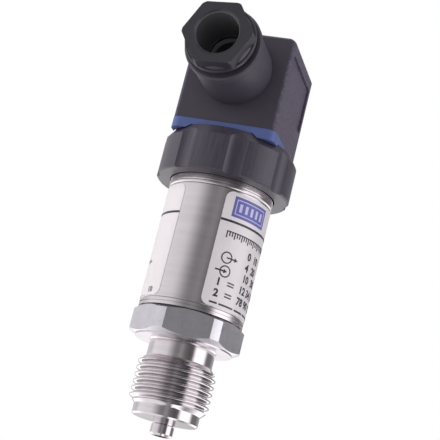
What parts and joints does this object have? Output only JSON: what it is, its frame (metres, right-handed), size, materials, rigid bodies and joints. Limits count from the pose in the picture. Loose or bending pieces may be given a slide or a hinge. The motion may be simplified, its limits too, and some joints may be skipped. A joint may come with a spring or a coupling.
{
  "type": "pressure transmitter",
  "caption": "Slim pressure transmitter: threaded steel stem and hexagon, tubular case with a type label, fluted union ring and an angular cable plug with a screwed gland.",
  "frame": {"origin": "centre of the sealing shoulder under the hexagon, on the instrument's axis", "axes": "+Z along the instrument's axis towards the plug, -Y along the cable gland towards the cable"},
  "size_m": [0.0364, 0.056, 0.11],
  "materials": {
    "stainless": "turned and brushed",
    "glass_seal": "fused glass",
    "pin_metal": "gold plated",
    "board_green": "solder mask",
    "component_dark": "moulded",
    "ribbon_amber": "polyimide film",
    "wire_sleeve": "soft sleeve",
    "label_film": "printed silver film",
    "ring_black": "satin moulding",
    "socket_grey": "moulded",
    "blade_metal": "tin plated",
    "brass_insert": "turned",
    "seal_rubber": "soft",
    "gasket_blue": "soft moulding",
    "plug_black": "fine grained moulding",
    "block_grey": "moulded",
    "screw_steel": "zinc plated",
    "nut_black": "satin moulding"
  },
  "bodies": {
    "transmitter_body": {"process_connection": "stainless", "sensor_cell": "stainless", "sensor_membrane": "stainless", "glass_beads": "glass_seal", "header_pins": "pin_metal", "header_board": "board_green", "sensor_ribbon": "ribbon_amber", "case_tube": "stainless", "case_head": "stainless", "board_carrier": "component_dark", "circuit_board": "board_green", "board_parts": "component_dark", "lead_wires": "wire_sleeve", "type_label": "label_film"},
    "connector_head": {"socket_base": "socket_grey", "contact_blades": "blade_metal", "earth_blade": "blade_metal", "screw_bush": "brass_insert", "base_seal": "seal_rubber", "profile_gasket": "gasket_blue"},
    "union_ring": {"fluted_ring": "ring_black"},
    "cable_plug": {"plug_housing": "plug_black", "terminal_block": "block_grey", "contact_clips": "brass_insert", "terminal_screws": "screw_steel", "gland_seal": "seal_rubber"},
    "washer": {"screw_washer": "screw_steel"},
    "plug_screw": {"fixing_screw": "screw_steel"},
    "gland_clamp": {"clamp_ring": "socket_grey"},
    "gland_cap": {"gland_nut": "nut_black"}
  },
  "joints": [
    {"name": "head_lift", "type": "slide", "parent": "transmitter_body", "child": "connector_head", "axis": [0, 0, 1], "range_m": [0, 0.005], "deforming": ["lead_wires"]},
    {"name": "ring_turn", "type": "hinge", "parent": "connector_head", "child": "union_ring", "pos_m": [0, 0, 0.049], "axis": [0, 0, 1], "range_deg": [0, 1440]},
    {"name": "plug_pull", "type": "slide", "parent": "connector_head", "child": "cable_plug", "axis": [0, 0, 1], "range_m": [0, 0.02]},
    {"name": "screw_lift", "type": "slide", "parent": "cable_plug", "child": "washer", "axis": [0, 0, 1], "range_m": [0, 0.005]},
    {"name": "screw_turn", "type": "hinge", "parent": "washer", "child": "plug_screw", "pos_m": [0, 0, 0.084], "axis": [0, 0, 1], "range_deg": [0, 3600]},
    {"name": "gland_slide", "type": "slide", "parent": "cable_plug", "child": "gland_clamp", "axis": [0, -1, 0], "range_m": [0, 0.0045]},
    {"name": "gland_turn", "type": "hinge", "parent": "gland_clamp", "child": "gland_cap", "pos_m": [0, -0.036, 0.07285], "axis": [0, -1, 0], "range_deg": [0, 1080]}
  ],
  "couplings": [
    {"joint": "ring_turn", "follows": "head_lift", "rad_per_m": 5026.5},
    {"joint": "screw_turn", "follows": "screw_lift", "rad_per_m": 12566},
    {"joint": "gland_turn", "follows": "gland_slide", "rad_per_m": 4188.7}
  ]
}
